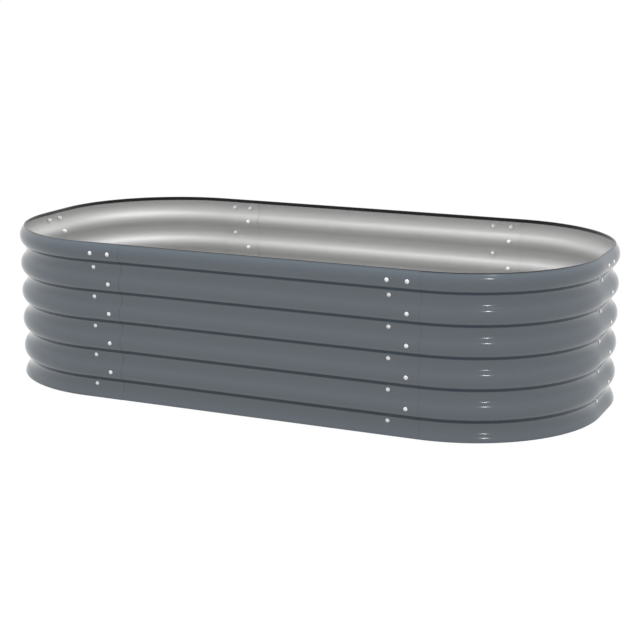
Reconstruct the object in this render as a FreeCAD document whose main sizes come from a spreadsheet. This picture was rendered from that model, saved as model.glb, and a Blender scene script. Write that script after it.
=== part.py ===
"""Oval raised garden bed of corrugated sheet steel.

Six panels make the ring: four quarter-round corner panels and two straight
side panels, all rolled with the same wave.  Each panel's counter-clockwise
end (seen from above) laps outside the next panel's clockwise end, and two
columns of screws, washers and cap nuts close each lap.  A black rubber strip
covers the cut edge round the top.

Millimetres.  +Z is up, the bed stands on Z = 0, +X runs along the length and
-Y is the front.  The origin is the centre of the footprint.
"""

import FreeCAD, Part
import math
import os
import re
import Sketcher

V = FreeCAD.Vector

# --------------------------------------------------------------- dimensions

SIZES = (
    ("bed_length", 1828.8, "outside crest to outside crest, along X"),
    ("bed_width", 914.4, "outside crest to outside crest, along Y"),
    ("wall_height", 455.6, "floor to the cut top edge of the sheet"),
    ("lap_length", 125.0, "flat lead at a panel's end, which the next panel laps"),
    ("wave_pitch", 86.7, "crest to crest"),
    ("wave_depth", 18.3, "crest to valley, across the sheet"),
    ("crest_bend", 34.0, "outside radius of the rolled crest"),
    ("rim_rise", 29.0, "top edge above the highest crest"),
    ("sheet_gauge", 0.8, "sheet thickness"),
    ("lap_gap", 0.2, "clearance between lapped sheets"),
    ("hole_size", 7.0, "screw hole"),
    ("column_spacing", 57.5, "between the two screw columns of a lap"),
    ("shank_size", 6.0, "screw shank"),
    ("shank_length", 10.0, "screw shank under the head"),
    ("head_size", 12.0, "screw head"),
    ("head_rise", 3.2, "screw head's dome"),
    ("washer_size", 12.5, "washer outside"),
    ("washer_hole", 6.6, "washer inside"),
    ("washer_gauge", 1.2, "washer thickness"),
    ("nut_flats", 10.0, "cap nut across flats"),
    ("nut_skirt", 5.0, "cap nut's hexagon height"),
    ("nut_dome", 4.6, "cap nut's dome radius"),
    ("nut_bore", 7.0, "depth of the cap nut's thread"),
    ("thread_gap", 0.08, "between shank and nut, all round"),
    ("seat_gap", 0.05, "between a fastener and what it seats on"),
    ("strip_wall", 1.8, "edge strip's leg, measured level"),
    ("strip_cap", 0.7, "edge strip's top above the sheet's edge"),
    ("strip_drop", 11.0, "edge strip's leg below the sheet's edge"),
    ("strip_gap", 0.15, "between the strip and the sheets"),
    ("strip_butt", 0.6, "slit where the strip's two ends meet"),
)

# what follows from the driving dimensions
DERIVED = (
    ("valley_bend", "(wave_depth^2 + wave_pitch^2 / 4) / (2 * wave_depth) - crest_bend"),
    ("lap_step", "sheet_gauge + lap_gap"),
    ("side_crest", "bed_width / 2"),
    ("end_crest", "bed_length / 2"),
    ("corner_across", "lap_length / 2"),
    ("corner_radius", "side_crest - corner_across"),
    ("corner_along", "end_crest - corner_radius"),
    ("lap_along", "corner_along - lap_length / 2"),
    ("side_length", "2 * corner_along - lap_step"),
    ("top_crest", "wall_height - rim_rise"),
    ("top_valley", "top_crest - wave_pitch / 2"),
    ("wave_count", "ceil(top_crest / wave_pitch + 0.5)"),
    ("screw_rows", "floor(top_valley / wave_pitch) + 1"),
    ("crest_inside", "crest_bend - sheet_gauge"),
    ("valley_inside", "valley_bend + sheet_gauge"),
    ("crest_sag", "crest_inside - sqrt(crest_inside^2 - washer_size^2 / 4)"),
    ("valley_sag", "valley_bend - sqrt(valley_bend^2 - head_size^2 / 4)"),
    ("dome_radius", "(head_size^2 / 4 + head_rise^2) / (2 * head_rise)"),
    ("rim_dip", "wave_pitch / 2 - rim_rise"),
    ("rim_out", "valley_bend - wave_depth - sqrt(valley_bend^2 - rim_dip^2)"),
    ("rim_in", "valley_bend - wave_depth - sqrt(valley_inside^2 - rim_dip^2)"),
    ("leg_rise", "rim_rise - strip_drop"),
    ("leg_in", "sqrt(crest_inside^2 - leg_rise^2) - crest_bend"),
    ("leg_bulge", "strip_drop^2 / (8 * valley_inside)"),
    ("leg_clear", "lap_step + strip_gap + leg_bulge"),
)


def make_sheet(doc):
    """Spreadsheet with one alias per driving or derived dimension."""
    sheet = doc.addObject("Spreadsheet::Sheet", "sizes")
    row = 1
    for name, value, meaning in SIZES:
        sheet.set("A%d" % row, meaning)
        sheet.set("B%d" % row, str(value))
        sheet.setAlias("B%d" % row, name)
        row += 1
    doc.recompute()
    for name, formula in DERIVED:
        sheet.set("B%d" % row, "=" + formula)
        sheet.setAlias("B%d" % row, name)
        row += 1
        doc.recompute()
    return sheet


doc = FreeCAD.newDocument("raised_bed")
sheet = make_sheet(doc)
ALIASES = [row[0] for row in SIZES + DERIVED]


def number(formula):
    """Value of a formula written with the sheet's aliases."""
    return float(sheet.evalExpression(formula))


def cell(formula):
    """The same formula for an expression, each alias naming its cell."""
    def named(match):
        word = match.group(0)
        return "sizes." + word if word in ALIASES else word
    return re.sub(r"[a-z_]+", named, formula)


# ----------------------------------------------------------- small helpers

START, END, CENTRE = 1, 2, 3
ORIGIN = (-1, 1)


def new_body(name):
    """Body that holds one rolled, turned or stamped piece."""
    body = doc.addObject("PartDesign::Body", name)
    body.Label = name
    return body


def origin_feature(body, role):
    """A body's own origin plane or axis, found by its role."""
    return next(item for item in body.Origin.OriginFeatures if item.Role == role)


def new_sketch(body, name, plane, offset="0"):
    """Sketch on an origin plane, or moved off it along its normal."""
    sketch = body.newObject("Sketcher::SketchObject", name)
    sketch.AttachmentSupport = [(origin_feature(body, plane), "")]
    sketch.MapMode = "FlatFace"
    sketch.AttachmentOffset = FreeCAD.Placement(V(0, 0, number(offset)), FreeCAD.Rotation())
    sketch.setExpression("AttachmentOffset.Base.z", cell(offset))
    return sketch


def bind(sketch, kind, refs, formula):
    """Dimension of a sketch that follows a formula of the sheet."""
    index = sketch.addConstraint(Sketcher.Constraint(kind, *refs, number(formula)))
    sketch.setExpression("Constraints[%d]" % index, cell(formula))


def place_point(sketch, point, across, up):
    """Ties a sketch point to two distances from the origin."""
    bind(sketch, "DistanceX", (*ORIGIN, *point), across)
    bind(sketch, "DistanceY", (*ORIGIN, *point), up)


def outline(sketch, corners):
    """Closed straight-sided outline; each corner is a pair of formulas."""
    points = [V(number(across), number(up), 0) for across, up in corners]
    lines = []
    for index, point in enumerate(points):
        after = points[(index + 1) % len(points)]
        lines.append(sketch.addGeometry(Part.LineSegment(point, after), False))
    for index, line in enumerate(lines):
        after = lines[(index + 1) % len(lines)]
        sketch.addConstraint(Sketcher.Constraint("Coincident", line, END, after, START))
        place_point(sketch, (line, START), *corners[index])


def circle(sketch, across, up, radius):
    """Circle of a sketch, its centre and radius given as formulas."""
    shape = Part.Circle(V(number(across), number(up), 0), V(0, 0, 1), number(radius))
    index = sketch.addGeometry(shape, False)
    place_point(sketch, (index, CENTRE), across, up)
    bind(sketch, "Radius", (index,), radius)


def extrude(body, kind, name, sketch, length=None, symmetric=False, reverse=False):
    """Pad or Pocket of a sketch; with no length it goes through everything."""
    feature = body.newObject("PartDesign::" + kind, name)
    feature.Profile = sketch
    feature.Reversed = reverse
    if symmetric:
        feature.SideType = "Symmetric"
    if length:
        feature.Length = number(length)
        feature.setExpression("Length", cell(length))
    else:
        feature.Type = "ThroughAll"
    doc.recompute()
    return feature


def revolve(body, name, sketch, axis, degrees):
    """Turns a sketch about one of its own axes."""
    feature = body.newObject("PartDesign::Revolution", name)
    feature.Profile = sketch
    feature.ReferenceAxis = (sketch, [axis])
    feature.Angle = degrees
    doc.recompute()
    return feature


def repeat_down(body, name, features, pitch, count):
    """Repeats features down the wall, one wave below the other."""
    pattern = body.newObject("PartDesign::LinearPattern", name)
    pattern.Originals = features
    pattern.Direction = (origin_feature(body, "Z_Axis"), [""])
    pattern.Reversed = True
    pattern.Occurrences = int(number(count))
    pattern.setExpression("Occurrences", cell(count))
    span = "%s * (%s - 1)" % (pitch, count)
    pattern.Length = number(span)
    pattern.setExpression("Length", cell(span))
    body.Tip = pattern
    doc.recompute()
    return pattern


def move(item, across="0", along="0", up="0", degrees=0):
    """Placement that follows the sheet, turned about the vertical."""
    item.Placement = FreeCAD.Placement(
        V(number(across), number(along), number(up)), FreeCAD.Rotation(V(0, 0, 1), degrees))
    item.setExpression("Placement.Base.x", cell(across))
    item.setExpression("Placement.Base.y", cell(along))
    item.setExpression("Placement.Base.z", cell(up))


# -------------------------------------------------------- the rolled panels

def wave_sketch(body, name, plane, crest_at):
    """One wave of the sheet in section, from valley to valley.

    The outside face is a crest arc between two half-valley arcs, tangent
    where they meet.  The inside face has the same centres, one gauge in.
    """
    bend, dip = number("crest_bend"), number("valley_bend")
    gauge, half = number("sheet_gauge"), number("wave_pitch") / 2
    crest, top = number(crest_at), number("top_crest")
    lean = math.asin(half / (bend + dip))
    valley_across = crest - number("wave_depth") + dip
    crest_centre = V(crest - bend, top, 0)
    low_centre = V(valley_across, top - half, 0)
    high_centre = V(valley_across, top + half, 0)
    sketch = new_sketch(body, name, plane)

    def arc(centre, radius, start, end):
        whole = Part.Circle(centre, V(0, 0, 1), radius)
        return sketch.addGeometry(Part.ArcOfCircle(whole, start, end), False)

    def closing_line(centre):
        edge = Part.LineSegment(centre - V(dip, 0, 0), centre - V(dip + gauge, 0, 0))
        return sketch.addGeometry(edge, False)

    faces = []
    for crest_radius, valley_radius in ((bend, dip), (bend - gauge, dip + gauge)):
        low = arc(low_centre, valley_radius, math.pi - lean, math.pi)
        mid = arc(crest_centre, crest_radius, -lean, lean)
        high = arc(high_centre, valley_radius, math.pi, math.pi + lean)
        sketch.addConstraint(Sketcher.Constraint("Tangent", low, START, mid, START))
        sketch.addConstraint(Sketcher.Constraint("Tangent", mid, END, high, END))
        faces.append((low, mid, high))
    outer, inner = faces
    for one, other in zip(outer, inner):
        sketch.addConstraint(Sketcher.Constraint("Coincident", one, CENTRE, other, CENTRE))
    for part, centre, end in ((0, low_centre, END), (2, high_centre, START)):
        line = closing_line(centre)
        sketch.addConstraint(Sketcher.Constraint("Coincident", line, START, outer[part], end))
        sketch.addConstraint(Sketcher.Constraint("Coincident", line, END, inner[part], end))
        sketch.addConstraint(Sketcher.Constraint("Horizontal", line))
        sketch.addConstraint(
            Sketcher.Constraint("Horizontal", outer[part], CENTRE, outer[part], end))
    low, mid, high = outer
    place_point(sketch, (mid, CENTRE), crest_at + " - crest_bend", "top_crest")
    bind(sketch, "DistanceY", (low, CENTRE, mid, CENTRE), "wave_pitch / 2")
    bind(sketch, "DistanceY", (mid, CENTRE, high, CENTRE), "wave_pitch / 2")
    bind(sketch, "Radius", (mid,), "crest_bend")
    bind(sketch, "Radius", (low,), "valley_bend")
    bind(sketch, "Radius", (high,), "valley_bend")
    bind(sketch, "Radius", (inner[1],), "crest_inside")
    doc.recompute()
    return sketch


def trim(body):
    """Cuts the rolled waves square at the top edge and at the floor."""
    for name, height, upward in (("rim_cut", "wall_height", True), ("floor_cut", "0", False)):
        sketch = new_sketch(body, name + "_sketch", "XY_Plane", height)
        circle(sketch, "0", "0", "bed_length")
        extrude(body, "Pocket", name, sketch, reverse=upward)


def drill_lap(body, name, plane, lap_at, ahead="-", behind="+", reverse=False):
    """Two columns of screw holes through one flat lead.

    The column ahead, nearer the counter-clockwise end, has a hole in each
    crest; the one behind has one in the top crest and one in each valley.
    ahead and behind are their directions along the sketch.
    """
    holes = (
        ("crest", ahead, "top_crest", True),
        ("valley", behind, "top_valley", True),
        ("top", behind, "top_crest", False),
    )
    for row, side, up, repeated in holes:
        title = "%s_%s" % (name, row)
        sketch = new_sketch(body, title + "_sketch", plane)
        circle(sketch, "%s %s column_spacing / 2" % (lap_at, side), up, "hole_size / 2")
        hole = extrude(body, "Pocket", title + "_hole", sketch, reverse=reverse)
        if repeated:
            repeat_down(body, title + "_holes", [hole], "wave_pitch", "screw_rows")


def corner_panel(name):
    """Quarter-round panel, its bend about the body's own vertical axis.

    The sheet starts in a flat lead along -Y, turns from +X to +Y and ends in
    a flat lead along -X.
    """
    body = new_body(name)
    start = wave_sketch(body, "start_section", "XZ_Plane", "corner_radius")
    bend = revolve(body, "bend", start, "V_Axis", 90)
    start_lead = extrude(body, "Pad", "start_lead", start, "lap_length")
    end = wave_sketch(body, "end_section", "YZ_Plane", "corner_radius")
    end_lead = extrude(body, "Pad", "end_lead", end, "lap_length", reverse=True)
    repeat_down(body, "waves", [bend, start_lead, end_lead], "wave_pitch", "wave_count")
    trim(body)
    drill_lap(body, "start", "YZ_Plane", "0 - lap_length / 2", "+", "-", reverse=True)
    drill_lap(body, "end", "XZ_Plane", "0 - lap_length / 2")
    return body


def side_panel(name):
    """Straight panel for the +Y side, centred on X = 0."""
    body = new_body(name)
    section = wave_sketch(body, "section", "YZ_Plane", "side_crest")
    sheet_run = extrude(body, "Pad", "sheet_run", section, "side_length", symmetric=True)
    repeat_down(body, "waves", [sheet_run], "wave_pitch", "wave_count")
    trim(body)
    drill_lap(body, "start", "XZ_Plane", "lap_along - lap_step / 2")
    drill_lap(body, "end", "XZ_Plane", "lap_step / 2 - lap_along")
    return body


def placed_copy(name, master, across="0", along="0", degrees=0):
    """Node that stands for a master shape at one place in the ring."""
    link = doc.addObject("App::Link", name + "_copy")
    link.LinkedObject = master
    node = doc.addObject("Part::Compound", name)
    node.Label = name
    node.Links = [link]
    move(node, across, along, degrees=degrees)
    return node


# every panel of a kind is the same, and each lap pushes the outer sheet one
# step outside the inner one
corner_sheet = corner_panel("corner_sheet")
side_sheet = side_panel("side_sheet")
CORNERS = (
    ("back_right", "corner_along - lap_step", "corner_across + lap_step", 0),
    ("back_left", "0 - corner_along", "corner_across - lap_step", 90),
    ("front_left", "lap_step - corner_along", "0 - corner_across - lap_step", 180),
    ("front_right", "corner_along", "lap_step - corner_across", 270),
)
SIDES = (
    ("back", "0 - lap_step / 2", "0", 0),
    ("front", "lap_step / 2", "0", 180),
)
nodes = [placed_copy("corner_panel_" + place, corner_sheet, *at) for place, *at in CORNERS]
nodes += [placed_copy("side_panel_" + place, side_sheet, *at) for place, *at in SIDES]


# ------------------------------------------------------------ the fasteners
# each is made with its seat at the origin and the wall's outside towards +Y

def make_screw():
    """Round-head screw: a low dome on a plain shank that runs along -Y."""
    body = new_body("screw")
    sketch = new_sketch(body, "half_section", "XY_Plane")
    head, shank = number("head_size") / 2, number("shank_size") / 2
    rise, length, dome = number("head_rise"), number("shank_length"), number("dome_radius")
    middle = V(0, rise - dome, 0)
    edge_angle = math.asin((dome - rise) / dome)
    top = sketch.addGeometry(
        Part.ArcOfCircle(Part.Circle(middle, V(0, 0, 1), dome), edge_angle, math.pi / 2), False)
    corners = (V(0, rise, 0), V(0, -length, 0), V(shank, -length, 0), V(shank, 0, 0), V(head, 0, 0))
    lines = []
    for first, second in zip(corners, corners[1:]):
        lines.append(sketch.addGeometry(Part.LineSegment(first, second), False))
    axis, tip, side, under = lines
    chain = ((top, END, axis, START), (axis, END, tip, START), (tip, END, side, START),
             (side, END, under, START), (under, END, top, START))
    for joint in chain:
        sketch.addConstraint(Sketcher.Constraint("Coincident", *joint))
    place_point(sketch, (axis, START), "0", "head_rise")
    place_point(sketch, (tip, START), "0", "0 - shank_length")
    place_point(sketch, (side, START), "shank_size / 2", "0 - shank_length")
    place_point(sketch, (under, START), "shank_size / 2", "0")
    place_point(sketch, (top, START), "head_size / 2", "0")
    bind(sketch, "Radius", (top,), "dome_radius")
    revolve(body, "turned", sketch, "V_Axis", 360)
    return body


def make_washer():
    """Flat washer that reaches from its seat towards -Y."""
    body = new_body("washer")
    sketch = new_sketch(body, "rings", "XZ_Plane")
    circle(sketch, "0", "0", "washer_size / 2")
    circle(sketch, "0", "0", "washer_hole / 2")
    extrude(body, "Pad", "stamped", sketch, "washer_gauge")
    return body


def make_cap_nut():
    """Hexagon skirt under a dome, bored blind, made upright and then turned."""
    skirt = doc.addObject("Part::Prism", "nut_hexagon")
    skirt.Polygon = 6
    skirt.setExpression("Circumradius", cell("nut_flats / sqrt(3)"))
    skirt.setExpression("Height", cell("nut_skirt"))
    dome = doc.addObject("Part::Sphere", "nut_cap")
    dome.Angle1 = 0
    dome.setExpression("Radius", cell("nut_dome"))
    move(dome, up="nut_skirt")
    blank = doc.addObject("Part::Fuse", "nut_blank")
    blank.Base = skirt
    blank.Tool = dome
    thread = doc.addObject("Part::Cylinder", "nut_thread")
    thread.setExpression("Radius", cell("shank_size / 2 + thread_gap"))
    thread.setExpression("Height", cell("nut_bore"))
    nut = doc.addObject("Part::Cut", "cap_nut")
    nut.Base = blank
    nut.Tool = thread
    nut.Placement = FreeCAD.Placement(V(0, 0, 0), FreeCAD.Rotation(V(1, 0, 0), 90))
    doc.recompute()
    return nut


# where a fastener seats, outwards from the outer sheet's crest
HEAD_SEATS = {
    "crest": "seat_gap",
    "valley": "valley_sag + seat_gap - wave_depth",
}
WASHER_SEATS = {
    "crest": "0 - lap_step - sheet_gauge - crest_sag - seat_gap",
    "valley": "0 - lap_step - sheet_gauge - wave_depth - seat_gap",
}
NUT_SEATS = {
    "crest": WASHER_SEATS["crest"] + " - washer_gauge - seat_gap",
    "valley": WASHER_SEATS["valley"] + " - washer_gauge - seat_gap",
}


def lap_set(name, master, seats):
    """The fasteners of one kind in one lap, in two columns.

    Seen from outside, the column on the counter-clockwise side holds one on
    each crest; the other holds one on the top crest and one in each valley.
    """
    ahead, behind = "0 - column_spacing / 2", "column_spacing / 2"
    places = [(behind, "top_crest", "crest")]
    for row in range(int(number("screw_rows"))):
        places.append((ahead, "top_crest - %d * wave_pitch" % row, "crest"))
        places.append((behind, "top_valley - %d * wave_pitch" % row, "valley"))
    links = []
    for across, up, seat in places:
        link = doc.addObject("App::Link", name + "_place")
        link.LinkedObject = master
        link.LinkTransform = True
        move(link, across, seats[seat], up)
        links.append(link)
    group = doc.addObject("Part::Compound", name)
    group.Links = links
    doc.recompute()
    return group


KINDS = (
    ("screws", lap_set("screw_set", make_screw(), HEAD_SEATS)),
    ("washers", lap_set("washer_set", make_washer(), WASHER_SEATS)),
    ("cap_nuts", lap_set("cap_nut_set", make_cap_nut(), NUT_SEATS)),
)
LAPS = (
    ("back_right", "lap_along - lap_step", "side_crest + lap_step", 0),
    ("back_left", "0 - lap_along", "side_crest", 0),
    ("left_end", "0 - end_crest", "0 - lap_step", 90),
    ("front_left", "lap_step - lap_along", "0 - side_crest - lap_step", 180),
    ("front_right", "lap_along", "0 - side_crest", 180),
    ("right_end", "end_crest", "lap_step", 270),
)
for kind, group in KINDS:
    nodes += [placed_copy("%s_%s" % (kind, lap), group, *at) for lap, *at in LAPS]


# ------------------------------------------------------------ the edge strip

def strip_section(body, name, plane, crest_at, offset="0"):
    """Angle section: a leg down the inside of the rim and a cap over it."""
    sheet_top = "%s + rim_in - leg_clear" % crest_at
    leg_foot = "%s + leg_in - leg_clear" % crest_at
    cap_edge = "%s + rim_out + lap_step" % crest_at
    sketch = new_sketch(body, name, plane, offset)
    outline(sketch, (
        (sheet_top, "wall_height + strip_gap"),
        (sheet_top, "wall_height"),
        (leg_foot, "wall_height - strip_drop"),
        (leg_foot + " - strip_wall", "wall_height - strip_drop"),
        (sheet_top + " - strip_wall", "wall_height"),
        (sheet_top + " - strip_wall", "wall_height + strip_cap"),
        (cap_edge, "wall_height + strip_cap"),
        (cap_edge, "wall_height + strip_gap"),
    ))
    return sketch


def upright_axis(sketch, across):
    """Construction line standing at a distance along the sketch, as an axis."""
    foot = V(number(across), 0, 0)
    line = sketch.addGeometry(Part.LineSegment(foot, foot + V(0, 10, 0)), True)
    place_point(sketch, (line, START), across, "0")
    place_point(sketch, (line, END), across, "10")
    return "Axis0"


def make_strip():
    """A quarter of the strip, mirrored twice, with a slit at the back."""
    body = new_body("strip_quarter")
    back = strip_section(body, "back_section", "YZ_Plane", "side_crest")
    extrude(body, "Pad", "back_run", back, "corner_along")
    end = strip_section(body, "end_section", "XZ_Plane", "end_crest")
    extrude(body, "Pad", "end_run", end, "corner_across", reverse=True)
    turn = strip_section(body, "turn_section", "XZ_Plane", "end_crest", "0 - corner_across")
    revolve(body, "turn", turn, upright_axis(turn, "corner_along"), 90)
    left = doc.addObject("Part::Mirroring", "strip_quarter_left")
    left.Source = body
    left.Normal = V(1, 0, 0)
    back_half = doc.addObject("Part::Fuse", "strip_back_half")
    back_half.Base = body
    back_half.Tool = left
    front_half = doc.addObject("Part::Mirroring", "strip_front_half")
    front_half.Source = back_half
    front_half.Normal = V(0, 1, 0)
    ring = doc.addObject("Part::Fuse", "strip_ring")
    ring.Base = back_half
    ring.Tool = front_half
    slit = doc.addObject("Part::Box", "strip_slit")
    slit.setExpression("Length", cell("strip_butt"))
    slit.setExpression("Width", cell("side_crest"))
    slit.setExpression("Height", cell("2 * strip_drop"))
    move(slit, "0 - strip_butt / 2", "corner_across", "wall_height - 1.5 * strip_drop")
    strip = doc.addObject("Part::Cut", "edge_strip")
    strip.Base = ring
    strip.Tool = slit
    doc.recompute()
    return strip


nodes.append(make_strip())


# ---------------------------------------------------------- check and write

doc.recompute()
for item in doc.Objects:
    if "Invalid" in item.State or "Error" in item.State:
        raise RuntimeError("%s failed: %s" % (item.Name, item.State))
for node in nodes:
    if node.Shape.isNull() or not node.Shape.isValid():
        raise RuntimeError("%s has no valid shape" % node.Label)

os.makedirs("parts", exist_ok=True)
for node in nodes:
    node.Shape.exportStep(os.path.join("parts", node.Label + ".step"))
    print("%-28s %3d solids %12.1f mm3" % (node.Label, len(node.Shape.Solids), node.Shape.Volume))
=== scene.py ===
"""Looks of an oval raised garden bed of corrugated sheet steel.

Metres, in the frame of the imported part: +Z up, the bed stands on Z = 0, +X
along its length and -Y its front.
"""

import math

import bmesh
import bpy
import numpy as np
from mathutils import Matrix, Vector


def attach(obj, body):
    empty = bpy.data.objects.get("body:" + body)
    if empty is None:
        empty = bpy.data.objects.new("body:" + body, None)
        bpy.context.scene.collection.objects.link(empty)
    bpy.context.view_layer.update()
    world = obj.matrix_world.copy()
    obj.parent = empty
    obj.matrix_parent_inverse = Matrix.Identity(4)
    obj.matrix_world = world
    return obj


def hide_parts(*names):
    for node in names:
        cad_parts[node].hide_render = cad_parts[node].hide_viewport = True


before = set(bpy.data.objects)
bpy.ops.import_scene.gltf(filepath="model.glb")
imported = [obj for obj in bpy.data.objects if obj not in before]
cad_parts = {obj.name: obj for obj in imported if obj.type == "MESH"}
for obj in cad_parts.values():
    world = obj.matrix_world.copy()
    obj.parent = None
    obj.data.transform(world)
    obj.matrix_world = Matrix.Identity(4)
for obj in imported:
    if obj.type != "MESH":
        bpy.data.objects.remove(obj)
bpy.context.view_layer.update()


# ------------------------------------------------------------ corner panels
# Four quarter-round panels of 0.8 mm steel, rolled with a wave of round
# crests and valleys and then bent to a curve.  Each ends in a straight lead
# that laps the next panel.  Slate-grey coat outside, pale grey coat inside.

WALL_HEIGHT = 0.4556
CREST_BELOW_EDGE = 0.029
TOP_CREST = WALL_HEIGHT - CREST_BELOW_EDGE
WAVE_PITCH = 0.0867
WAVE_DEPTH = 0.0183
CREST_BEND = 0.034
VALLEY_BEND = (WAVE_DEPTH ** 2 + WAVE_PITCH ** 2 / 4) / (2 * WAVE_DEPTH) - CREST_BEND
SHEET_GAUGE = 0.0008
SHEAR_EASE = 0.0005
LAP_STEP = 0.001
LAP_LENGTH = 0.125
# Half the bed's length and half its width, over the crests.
END_CREST = 0.9144
SIDE_CREST = 0.4572
# Where a corner's bend has its centre, across and along the bed.
CORNER_ACROSS = LAP_LENGTH / 2
CORNER_RADIUS = SIDE_CREST - CORNER_ACROSS
CORNER_ALONG = END_CREST - CORNER_RADIUS
CORNER_STEPS = 64
HEIGHT_STEPS = 160
SAME_POINT = 1e-7
SMOOTH_BELOW = 35

SLATE = (0.064, 0.086, 0.110)
PALE_GREY = (0.56, 0.56, 0.555)
TONE_SPREAD = 0.02
GRAIN_HEIGHT = 0.06
UNEVEN_STRENGTH = 0.15
UNEVEN_DEPTH = 0.0006


def wave_inset(height, thick):
    """How far the rolled sheet stands from its crest line, outwards positive.

    Crests are arcs about points one crest bend inside the crest line and
    valleys are arcs about points outside the valley line.  They meet where
    both lean the same way.  thick moves from the outside face to the inside
    one by taking a gauge off the crest arcs and adding it to the valley arcs.
    """
    lean = math.asin(WAVE_PITCH / 2 / (CREST_BEND + VALLEY_BEND))
    crest = CREST_BEND - thick
    valley = VALLEY_BEND + thick
    off_crest = np.abs((height - TOP_CREST + WAVE_PITCH / 2) % WAVE_PITCH - WAVE_PITCH / 2)
    off_valley = WAVE_PITCH / 2 - off_crest
    on_crest = np.sqrt(np.maximum(crest ** 2 - off_crest ** 2, 0)) - CREST_BEND
    on_valley = VALLEY_BEND - WAVE_DEPTH - np.sqrt(np.maximum(valley ** 2 - off_valley ** 2, 0))
    return np.where(off_crest < crest * math.sin(lean), on_crest, on_valley)


def swept(line, outward, inset, height):
    """Rings of points, one at each step of a line in plan.

    Each point is line + outward * inset, at its own height.  inset holds the
    values of one ring, or a row of them for every step of the line.
    """
    plan = line[:, None, :] + outward[:, None, :] * inset[..., None]
    return np.dstack([plan, np.broadcast_to(height, plan.shape[:2])]).reshape(-1, 3)


def ring_faces(rings, around):
    """Four-sided faces between each ring of points and the next, row by row.

    Point k of ring r has the number r * around + k.  A face joins points k
    and k + 1 of its ring to the same two of the next, and the last closes up.
    """
    here = np.arange(around)
    after = (here + 1) % around
    ring = np.arange(rings - 1)[:, None] * around
    corners = [ring + here, ring + after, ring + around + after, ring + around + here]
    return np.stack(corners, axis=2)


def turned(points, degrees, shift):
    """Points turned about the vertical by degrees, then moved by shift in plan."""
    turn = math.radians(degrees)
    spin = np.array([[math.cos(turn), math.sin(turn), 0],
                     [-math.sin(turn), math.cos(turn), 0],
                     [0, 0, 1]])
    return points @ spin + np.array([*shift, 0])


def mesh_object(name, points, faces, materials, material_of=None):
    """Object with rounded shading wherever faces meet at less than SMOOTH_BELOW.

    Points that coincide, as at a pole or a seam, become one.
    """
    mesh = bpy.data.meshes.new(name)
    mesh.from_pydata(points.tolist(), [], faces)
    for material in materials:
        mesh.materials.append(material)
    if material_of is not None:
        mesh.polygons.foreach_set("material_index", material_of.astype(np.int32))
    joined = bmesh.new()
    joined.from_mesh(mesh)
    bmesh.ops.remove_doubles(joined, verts=joined.verts, dist=SAME_POINT)
    joined.to_mesh(mesh)
    joined.free()
    mesh.polygons.foreach_set("use_smooth", np.ones(len(mesh.polygons), dtype=bool))
    mesh.set_sharp_from_angle(angle=math.radians(SMOOTH_BELOW))
    piece = bpy.data.objects.new(name, mesh)
    bpy.context.scene.collection.objects.link(piece)
    return piece


def rolled_panel(name, line, outward, degrees, shift):
    """Wavy sheet carried along a line in plan, closed on all four edges.

    A ring of points goes down the outside face and up the inside one, inset
    by wave_inset(height), at every step of the line.  Shearing rounds the
    outside face over at both ends: there it drops by the ease within an ease.
    """
    ends = np.array([line[1] - line[0], line[-2] - line[-1]])
    ends = SHEAR_EASE * ends / np.linalg.norm(ends, axis=1)[:, None]
    line = np.insert(line, [1, len(line) - 1], [line[0] + ends[0], line[-1] + ends[1]], axis=0)
    outward = np.insert(outward, [1, len(outward) - 1], outward[[0, -1]], axis=0)
    rows = HEIGHT_STEPS + 1
    height = np.linspace(WALL_HEIGHT, 0, rows)
    ring_height = np.concatenate([height, height[::-1]])
    inset = np.concatenate([wave_inset(height, 0), wave_inset(height[::-1], SHEET_GAUGE)])
    inset = np.repeat(inset[None, :], len(line), axis=0)
    inset[[0, -1], :rows] -= SHEAR_EASE
    points = turned(swept(line, outward, inset, ring_height), degrees, shift)
    around = 2 * rows
    skin = ring_faces(len(line), around)
    here = np.arange(around)
    inside = np.broadcast_to((here >= rows) & (here < around - 1), skin.shape[:2])
    row = np.arange(rows - 1)
    first_end = np.stack([row, around - 1 - row, around - 2 - row, row + 1], axis=1)
    last_end = (len(line) - 1) * around + first_end[:, ::-1]
    faces = np.concatenate([skin.reshape(-1, 4), first_end, last_end])
    material_of = np.concatenate([inside.ravel(), np.zeros(2 * len(row), dtype=bool)])
    return mesh_object(name, points, faces.tolist(), (outside_coat, inside_coat), material_of)


def sheet_unevenness():
    """Node group: how rolled sheet is never quite even, as a height and a tone.

    Two soft noises on the object's own coordinates, a long one for the slow
    swell that bending leaves and a short one for the skin of the coat.
    """
    group = bpy.data.node_groups.new("sheet unevenness", "ShaderNodeTree")
    sockets = {"Swell": "INPUT", "Grain": "INPUT", "Height": "OUTPUT", "Tone": "OUTPUT"}
    for name, way in sockets.items():
        group.interface.new_socket(name, in_out=way, socket_type="NodeSocketFloat")
    put = group.nodes.new
    link = group.links.new
    given = put("NodeGroupInput")
    result = put("NodeGroupOutput")
    place = put("ShaderNodeTexCoord")
    swell = put("ShaderNodeTexNoise")
    grain = put("ShaderNodeTexNoise")
    add = put("ShaderNodeMath")
    add.operation = "MULTIPLY_ADD"
    add.inputs[1].default_value = GRAIN_HEIGHT
    link(place.outputs["Object"], swell.inputs["Vector"])
    link(place.outputs["Object"], grain.inputs["Vector"])
    link(given.outputs["Swell"], swell.inputs["Scale"])
    link(given.outputs["Grain"], grain.inputs["Scale"])
    link(grain.outputs["Fac"], add.inputs[0])
    link(swell.outputs["Fac"], add.inputs[2])
    link(add.outputs[0], result.inputs["Height"])
    link(swell.outputs["Fac"], result.inputs["Tone"])
    return group


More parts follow.
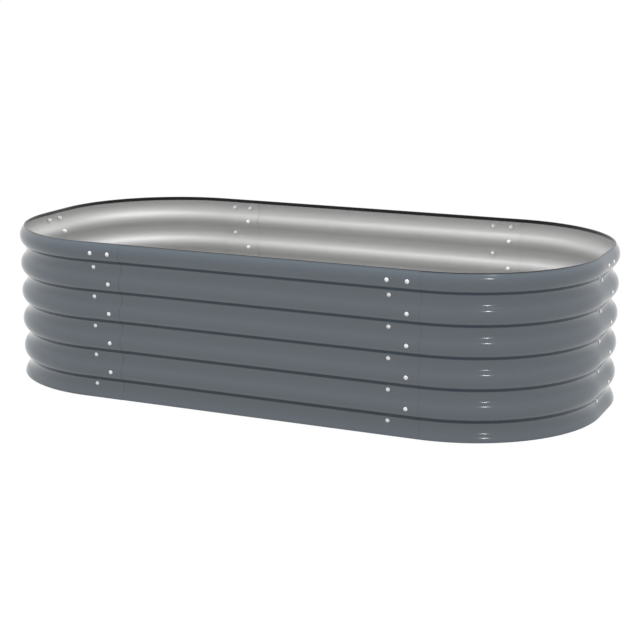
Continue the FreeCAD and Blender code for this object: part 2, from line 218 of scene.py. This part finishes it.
def coat(name, colour, roughness, metallic, gloss_index, swell, grain):
    """Coat on sheet steel: one colour, a little darker where Tone is low.

    swell and grain are the scales of the two noises.
    """
    material = bpy.data.materials.new(name)
    material.use_nodes = True
    tree = material.node_tree
    shader = tree.nodes["Principled BSDF"]
    shader.inputs["Roughness"].default_value = roughness
    shader.inputs["Metallic"].default_value = metallic
    shader.inputs["IOR"].default_value = gloss_index
    uneven = tree.nodes.new("ShaderNodeGroup")
    uneven.node_tree = unevenness
    uneven.inputs["Swell"].default_value = swell
    uneven.inputs["Grain"].default_value = grain
    tones = tree.nodes.new("ShaderNodeMix")
    tones.data_type = "RGBA"
    tones.inputs["A"].default_value = (*[part * (1 - TONE_SPREAD) for part in colour], 1)
    tones.inputs["B"].default_value = (*[part * (1 + TONE_SPREAD) for part in colour], 1)
    bump = tree.nodes.new("ShaderNodeBump")
    bump.inputs["Strength"].default_value = UNEVEN_STRENGTH
    bump.inputs["Distance"].default_value = UNEVEN_DEPTH
    tree.links.new(uneven.outputs["Tone"], tones.inputs["Factor"])
    tree.links.new(uneven.outputs["Height"], bump.inputs["Height"])
    tree.links.new(tones.outputs["Result"], shader.inputs["Base Color"])
    tree.links.new(bump.outputs["Normal"], shader.inputs["Normal"])
    return material


# The slate coat is glossy.  The pale one is part metallic, for the broad soft
# sheen that the wave has inside.
unevenness = sheet_unevenness()
outside_coat = coat("slate coat", SLATE, roughness=0.13, metallic=0, gloss_index=1.8,
                    swell=3, grain=400)
inside_coat = coat("pale inside coat", PALE_GREY, roughness=0.5, metallic=0.45, gloss_index=1.5,
                   swell=5, grain=250)

bend = np.linspace(0, math.pi / 2, CORNER_STEPS + 1)
bend_outward = np.stack([np.cos(bend), np.sin(bend)], axis=1)
corner_line = np.concatenate([
    [[CORNER_RADIUS, -LAP_LENGTH]], CORNER_RADIUS * bend_outward, [[-LAP_LENGTH, CORNER_RADIUS]]])
corner_outward = np.concatenate([[[1, 0]], bend_outward, [[0, 1]]])
CORNERS = {
    "corner_panel_back_right": (0, (CORNER_ALONG - LAP_STEP, CORNER_ACROSS + LAP_STEP)),
    "corner_panel_back_left": (90, (-CORNER_ALONG, CORNER_ACROSS - LAP_STEP)),
    "corner_panel_front_left": (180, (LAP_STEP - CORNER_ALONG, -CORNER_ACROSS - LAP_STEP)),
    "corner_panel_front_right": (270, (CORNER_ALONG, LAP_STEP - CORNER_ACROSS)),
}
for node, (degrees, shift) in CORNERS.items():
    piece = rolled_panel(node + "_coated", corner_line, corner_outward, degrees, shift)
    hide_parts(node)
    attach(piece, "root")


# -------------------------------------------------------------- side panels
# Two straight panels of the same rolled sheet, between the corner panels.
# One end laps outside its neighbour and the other laps inside.

SIDE_LENGTH = 2 * CORNER_ALONG - LAP_STEP
SIDE_STEPS = 8
side_x = np.linspace(SIDE_LENGTH / 2, -SIDE_LENGTH / 2, SIDE_STEPS + 1)
side_line = np.stack([side_x, np.full_like(side_x, SIDE_CREST)], axis=1)
side_outward = np.tile([0.0, 1.0], (len(side_x), 1))
SIDES = {
    "side_panel_back": (0, (-LAP_STEP / 2, 0)),
    "side_panel_front": (180, (LAP_STEP / 2, 0)),
}
for node, (degrees, shift) in SIDES.items():
    piece = rolled_panel(node + "_coated", side_line, side_outward, degrees, shift)
    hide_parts(node)
    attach(piece, "root")


# ------------------------------------------------------------------- screws
# Eleven zinc-plated round-head screws through each of the six laps, in two
# columns: one on every crest, the other on the top crest and every valley.
# A cross recess in the head takes the driver.

ROWS = 5
HALF_COLUMN_SPACING = 0.02875
SEAT_GAP = 0.00005
HEAD_RADIUS = 0.006
HEAD_RISE = 0.0032
HEAD_RINGS = 12
HEAD_AROUND = 40
SHANK_RADIUS = 0.003
SHANK_LENGTH = 0.010
RECESS_HALF_SLOT = 0.0007
RECESS_REACH = 0.0031
RECESS_DEPTH = 0.0013
RECESS_TAPER = 0.4
ZINC = (0.97, 0.97, 0.97, 1)
LAP_ALONG = CORNER_ALONG - LAP_LENGTH / 2
LAPS = {
    "back_right": (0, (LAP_ALONG - LAP_STEP, SIDE_CREST + LAP_STEP)),
    "back_left": (0, (-LAP_ALONG, SIDE_CREST)),
    "left_end": (90, (-END_CREST, -LAP_STEP)),
    "front_left": (180, (LAP_STEP - LAP_ALONG, -SIDE_CREST - LAP_STEP)),
    "front_right": (180, (LAP_ALONG, -SIDE_CREST)),
    "right_end": (270, (END_CREST, LAP_STEP)),
}


def lathe(radius, height, around=24, ripple=None):
    """Closed turned shape: radius and height of a profile, carried round Y.

    A profile starts and ends on the axis, or ends where it began.  ripple, if
    given, is a function of (radius, angle) added to the height.  Faces point
    out of the solid when the profile runs from the tip at +Y to the one at -Y.
    """
    angle = np.linspace(0, 2 * math.pi, around, endpoint=False)
    radius = np.array(radius)[:, None]
    out = np.repeat(np.array(height)[:, None], around, axis=1)
    if ripple is not None:
        out = out + ripple(radius, angle)
    points = np.dstack([radius * np.cos(angle), out, radius * np.sin(angle)]).reshape(-1, 3)
    return points, ring_faces(len(radius), around).reshape(-1, 4)


def lap_places(crest_seat, valley_seat):
    """Where a lap's fasteners sit: across, outwards and up, one row for each."""
    crest = TOP_CREST - WAVE_PITCH * np.arange(ROWS)
    valley = crest - WAVE_PITCH / 2
    column = np.full(ROWS, HALF_COLUMN_SPACING)
    top = [[HALF_COLUMN_SPACING, crest_seat, TOP_CREST]]
    crests = np.stack([-column, np.full(ROWS, crest_seat), crest], axis=1)
    valleys = np.stack([column, np.full(ROWS, valley_seat), valley], axis=1)
    return np.concatenate([top, crests, valleys])


def fastener_set(kind, lap, shape, places, material):
    """Copies of one shape at every place of one lap, as one piece."""
    points, faces = shape
    copies = (places[:, None, :] + points[None, :, :]).reshape(-1, 3)
    count = np.arange(len(places))[:, None, None] * len(points)
    all_faces = (faces[None, :, :] + count).reshape(-1, 4)
    node = "%s_%s" % (kind, lap)
    placed = turned(copies, *LAPS[lap])
    piece = mesh_object(node + "_plated", placed, all_faces.tolist(), (material,))
    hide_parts(node)
    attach(piece, "root")


def zinc(name, metallic, roughness):
    """Bright zinc plate on a small steel fastener."""
    material = bpy.data.materials.new(name)
    material.use_nodes = True
    shader = material.node_tree.nodes["Principled BSDF"]
    shader.inputs["Base Color"].default_value = ZINC
    shader.inputs["Metallic"].default_value = metallic
    shader.inputs["Roughness"].default_value = roughness
    return material


def cross_recess(radius, angle):
    """Pit of a cross-head driver: two crossed slots that end inside the head.

    Its depth falls off in proportion to the radius, and is nil past its reach.
    """
    across = np.abs(radius * np.cos(angle))
    up = np.abs(radius * np.sin(angle))
    in_slot = (np.minimum(across, up) < RECESS_HALF_SLOT) & (radius < RECESS_REACH)
    return np.where(in_slot, -RECESS_DEPTH * (1 - RECESS_TAPER * radius / RECESS_REACH), 0.0)


dome_radius = (HEAD_RADIUS ** 2 + HEAD_RISE ** 2) / (2 * HEAD_RISE)
dome_turn = np.linspace(0, math.asin(HEAD_RADIUS / dome_radius), HEAD_RINGS)
dome_height = HEAD_RISE - dome_radius * (1 - np.cos(dome_turn))
screw_shape = lathe(
    np.concatenate([dome_radius * np.sin(dome_turn), [SHANK_RADIUS, SHANK_RADIUS, 0]]),
    np.concatenate([dome_height, [0, -SHANK_LENGTH, -SHANK_LENGTH]]),
    around=HEAD_AROUND, ripple=cross_recess)
valley_sag = VALLEY_BEND - math.sqrt(VALLEY_BEND ** 2 - HEAD_RADIUS ** 2)
head_places = lap_places(SEAT_GAP, SEAT_GAP + valley_sag - WAVE_DEPTH)
bright_zinc = zinc("bright zinc", metallic=0.2, roughness=0.3)
for lap in LAPS:
    fastener_set("screws", lap, screw_shape, head_places, bright_zinc)


# ------------------------------------------------------ washers and cap nuts
# Inside the wall, each screw passes a flat zinc washer and ends in a cap nut:
# a six-sided skirt for the spanner under a round blind dome.

WASHER_RADIUS = 0.00625
WASHER_HOLE = 0.0033
WASHER_GAUGE = 0.0012
WASHER_EDGE = 0.0002
NUT_FLATS = 0.010
NUT_FACE_RADIUS = 1.04 * NUT_FLATS / 2
NUT_BEVEL_SLOPE = 0.6
NUT_SKIRT = 0.005
NUT_DOME = 0.0046
NUT_DOME_RINGS = 9
NUT_AROUND = 48

crest_inside = CREST_BEND - SHEET_GAUGE
crest_sag = crest_inside - math.sqrt(crest_inside ** 2 - WASHER_RADIUS ** 2)
crest_washer = -LAP_STEP - SHEET_GAUGE - crest_sag - SEAT_GAP
valley_washer = -LAP_STEP - SHEET_GAUGE - WAVE_DEPTH - SEAT_GAP
washer_places = lap_places(crest_washer, valley_washer)
nut_places = washer_places - np.array([0, WASHER_GAUGE + SEAT_GAP, 0])
washer_shape = lathe(
    [WASHER_HOLE, WASHER_RADIUS - WASHER_EDGE, WASHER_RADIUS, WASHER_RADIUS,
     WASHER_RADIUS - WASHER_EDGE, WASHER_HOLE, WASHER_HOLE],
    [0, 0, -WASHER_EDGE, WASHER_EDGE - WASHER_GAUGE, -WASHER_GAUGE, -WASHER_GAUGE, 0])


def cap_nut():
    """Skirt and dome as rings of points from the seat to the dome's top.

    The skirt's radius is the flats' half width over the cosine of the angle
    from the middle of the flat, held inside a cone that chamfers its corners.
    """
    angle = np.linspace(0, 2 * math.pi, NUT_AROUND, endpoint=False)
    off_flat = (angle + math.pi / 6) % (math.pi / 3) - math.pi / 6
    hexagon = NUT_FLATS / 2 / np.cos(off_flat)
    corner = NUT_FLATS / math.sqrt(3)
    bevel = NUT_BEVEL_SLOPE * (corner - NUT_FACE_RADIUS)
    dome = np.linspace(0, math.pi / 2, NUT_DOME_RINGS)
    depth = np.concatenate([[0, 0, bevel, NUT_SKIRT - bevel, NUT_SKIRT],
                            NUT_SKIRT + NUT_DOME * np.sin(dome)])[:, None]
    limit = np.concatenate([[0, NUT_FACE_RADIUS, corner, corner, NUT_FACE_RADIUS],
                            NUT_DOME * np.cos(dome)])[:, None]
    radius = np.minimum(limit, np.where(limit > NUT_DOME, hexagon, np.inf))
    points = np.dstack([radius * np.cos(angle), np.repeat(-depth, NUT_AROUND, axis=1),
                        radius * np.sin(angle)]).reshape(-1, 3)
    return points, ring_faces(len(depth), NUT_AROUND).reshape(-1, 4)


nut_shape = cap_nut()
nut_zinc = zinc("nut zinc", metallic=0.1, roughness=0.25)
for lap in LAPS:
    fastener_set("washers", lap, washer_shape, washer_places, bright_zinc)
    fastener_set("cap_nuts", lap, nut_shape, nut_places, nut_zinc)


# --------------------------------------------------------------- edge strip
# Black rubber strip pushed over the cut top edge all round: a leg down the
# inside of the sheet and a cap over its edge, with a butt joint at the back.

STRIP_WALL = 0.0018
STRIP_CAP = 0.0007
STRIP_DROP = 0.011
STRIP_GAP = 0.00015
STRIP_BUTT = 0.0006
STRIP_ROUND = 0.0002
RUBBER = (0.012, 0.012, 0.013, 1)

leg_end = WALL_HEIGHT - STRIP_DROP
cap_top = WALL_HEIGHT + STRIP_CAP
cut_edge = np.array([WALL_HEIGHT, leg_end])
cap_rim = wave_inset(cut_edge, 0)[0] + LAP_STEP
leg_clear = LAP_STEP + STRIP_GAP + STRIP_DROP ** 2 / (8 * (VALLEY_BEND + SHEET_GAUGE))
leg_top, leg_foot = wave_inset(cut_edge, SHEET_GAUGE) - leg_clear
section = np.array([
    (leg_top, WALL_HEIGHT + STRIP_GAP),
    (leg_top, WALL_HEIGHT),
    (leg_foot, leg_end),
    (leg_foot - STRIP_WALL + STRIP_ROUND, leg_end),
    (leg_foot - STRIP_WALL, leg_end + STRIP_ROUND),
    (leg_top - STRIP_WALL, WALL_HEIGHT),
    (leg_top - STRIP_WALL, cap_top - STRIP_ROUND),
    (leg_top - STRIP_WALL + STRIP_ROUND, cap_top),
    (cap_rim - STRIP_ROUND, cap_top),
    (cap_rim, cap_top - STRIP_ROUND),
    (cap_rim, WALL_HEIGHT + STRIP_GAP)])


def crest_line_round():
    """The crest line in plan, once round from the back joint, and its outward side.

    Straight runs join four quarter turns, each the points centre + radius * ray
    for rays from its starting angle on, and the rays point outwards there.
    """
    starts = [(-CORNER_ALONG, CORNER_ACROSS, 90), (-CORNER_ALONG, -CORNER_ACROSS, 180),
              (CORNER_ALONG, -CORNER_ACROSS, 270), (CORNER_ALONG, CORNER_ACROSS, 0)]
    line = [[[-STRIP_BUTT / 2, SIDE_CREST]]]
    outward = [[[0, 1]]]
    for x, y, start in starts:
        turn = np.radians(start) + bend
        ray = np.stack([np.cos(turn), np.sin(turn)], axis=1)
        line.append(np.array([x, y]) + CORNER_RADIUS * ray)
        outward.append(ray)
    line.append([[STRIP_BUTT / 2, SIDE_CREST]])
    outward.append([[0, 1]])
    return np.concatenate(line), np.concatenate(outward)


crest_line, crest_outward = crest_line_round()
strip_points = swept(crest_line, crest_outward, section[:, 0], section[:, 1])
strip_skin = ring_faces(len(crest_line), len(section)).reshape(-1, 4).tolist()
first_butt = list(range(len(section)))[::-1]
last_butt = list(range(len(strip_points) - len(section), len(strip_points)))
rubber = bpy.data.materials.new("black rubber")
rubber.use_nodes = True
rubber_shader = rubber.node_tree.nodes["Principled BSDF"]
rubber_shader.inputs["Base Color"].default_value = RUBBER
rubber_shader.inputs["Roughness"].default_value = 0.2
rubber_shader.inputs["Specular IOR Level"].default_value = 0.2
strip_faces = strip_skin + [first_butt, last_butt]
strip = mesh_object("edge_strip_rubber", strip_points, strip_faces, (rubber,))
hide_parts("edge_strip")
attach(strip, "root")


# ------------------------------------------------------------ plain setting
# A pale floor, an even white surround and soft lamps.  The floor and the
# surround look white to the camera and in reflections, and the floor keeps
# the bed's soft shadow.  Within the bed the floor is plain grey.

WHITE = (1, 1, 1, 1)
FLOOR_GREY = (0.35, 0.35, 0.35, 1)
FLOOR_RADIUS = 70
FLOOR_CORNERS = 96
FLOOR_DROP = 0.0005
INNER_FLOOR_DROP = 0.0002
INNER_FLOOR_INSET = 1.5 * SHEET_GAUGE
FLOOR_GLOW = 1.08
GLOW_SHARE = 0.9
SURROUND_LIGHT = 0.95
SURROUND_SEEN = 1.0


def floor_paint(name):
    """Matt grey floor paint."""
    paint = bpy.data.materials.new(name)
    paint.use_nodes = True
    shader = paint.node_tree.nodes["Principled BSDF"]
    shader.inputs["Base Color"].default_value = FLOOR_GREY
    shader.inputs["Roughness"].default_value = 1
    shader.inputs["Specular IOR Level"].default_value = 0
    return paint


def flat_floor(name, outline, drop, paint):
    """One face within an outline in plan, a little way below Z = 0."""
    mesh = bpy.data.meshes.new(name)
    points = np.column_stack([outline, np.full(len(outline), -drop)])
    mesh.from_pydata(points.tolist(), [], [list(range(len(outline)))])
    mesh.materials.append(paint)
    floor = bpy.data.objects.new(name, mesh)
    bpy.context.scene.collection.objects.link(floor)


def white_when_seen(tree, shown, lit):
    """Shows one shader to the camera and in reflections and another to the rest."""
    path = tree.nodes.new("ShaderNodeLightPath")
    seen = tree.nodes.new("ShaderNodeMath")
    seen.operation = "MAXIMUM"
    seen_or_passed = tree.nodes.new("ShaderNodeMath")
    seen_or_passed.operation = "MAXIMUM"
    mix = tree.nodes.new("ShaderNodeMixShader")
    tree.links.new(path.outputs["Is Camera Ray"], seen.inputs[0])
    tree.links.new(path.outputs["Is Glossy Ray"], seen.inputs[1])
    tree.links.new(seen.outputs[0], seen_or_passed.inputs[0])
    tree.links.new(path.outputs["Is Transmission Ray"], seen_or_passed.inputs[1])
    tree.links.new(seen_or_passed.outputs[0], mix.inputs[0])
    tree.links.new(lit, mix.inputs[1])
    tree.links.new(shown, mix.inputs[2])
    return mix.outputs[0]


around = np.linspace(0, 2 * math.pi, FLOOR_CORNERS, endpoint=False)
floor_outline = FLOOR_RADIUS * np.stack([np.cos(around), np.sin(around)], axis=1)
pale_floor = floor_paint("pale floor")
tree = pale_floor.node_tree
grey = tree.nodes["Principled BSDF"].outputs[0]
glow = tree.nodes.new("ShaderNodeEmission")
glow.inputs["Color"].default_value = WHITE
glow.inputs["Strength"].default_value = FLOOR_GLOW
shown = tree.nodes.new("ShaderNodeMixShader")
shown.inputs[0].default_value = GLOW_SHARE
tree.links.new(grey, shown.inputs[1])
tree.links.new(glow.outputs[0], shown.inputs[2])
surface = white_when_seen(tree, shown.outputs[0], grey)
tree.links.new(surface, tree.nodes["Material Output"].inputs["Surface"])
flat_floor("floor", floor_outline, FLOOR_DROP, pale_floor)

# The floor within the bed ends inside the sheet's own thickness.
inner_outline = crest_line - crest_outward * INNER_FLOOR_INSET
flat_floor("floor_within", inner_outline, INNER_FLOOR_DROP, floor_paint("shaded floor"))

world = bpy.data.worlds.new("white surround")
bpy.context.scene.world = world
world.use_nodes = True
tree = world.node_tree
lit = tree.nodes["Background"]
lit.inputs["Color"].default_value = WHITE
lit.inputs["Strength"].default_value = SURROUND_LIGHT
shown = tree.nodes.new("ShaderNodeBackground")
shown.inputs["Color"].default_value = WHITE
shown.inputs["Strength"].default_value = SURROUND_SEEN
surface = white_when_seen(tree, shown.outputs[0], lit.outputs[0])
tree.links.new(surface, tree.nodes["World Output"].inputs["Surface"])


def lamp(name, place, aim, width, depth, power):
    """Soft rectangular lamp that faces a point."""
    light = bpy.data.lights.new(name, "AREA")
    light.shape = "RECTANGLE"
    light.size = width
    light.size_y = depth
    light.energy = power
    holder = bpy.data.objects.new(name, light)
    holder.location = place
    holder.rotation_euler = (Vector(aim) - Vector(place)).to_track_quat("-Z", "Y").to_euler()
    bpy.context.scene.collection.objects.link(holder)


# The small lamp draws short bright dashes on each wave of the near corner.
lamp("overhead lamp", place=(0.0, 0.3, 4.0), aim=(0, 0, 0.2), width=4.0, depth=3.0, power=130)
lamp("corner lamp", place=(2.42, -2.54, 3.24), aim=(0.69, -0.40, 0.33),
     width=0.25, depth=0.25, power=5)

LENS = 86.1
FILM_WIDTH = 36
CAMERA_PLACE = (1.87932, -4.11677, 1.24869)
CAMERA_TILT = 76.691
CAMERA_TURN = 24.166
camera_data = bpy.data.cameras.new("camera")
camera_data.sensor_width = FILM_WIDTH
camera_data.lens = LENS
camera = bpy.data.objects.new("camera", camera_data)
camera.location = CAMERA_PLACE
camera.rotation_euler = (math.radians(CAMERA_TILT), 0, math.radians(CAMERA_TURN))
bpy.context.scene.collection.objects.link(camera)
bpy.context.scene.camera = camera
bpy.context.scene.view_settings.view_transform = "Standard"
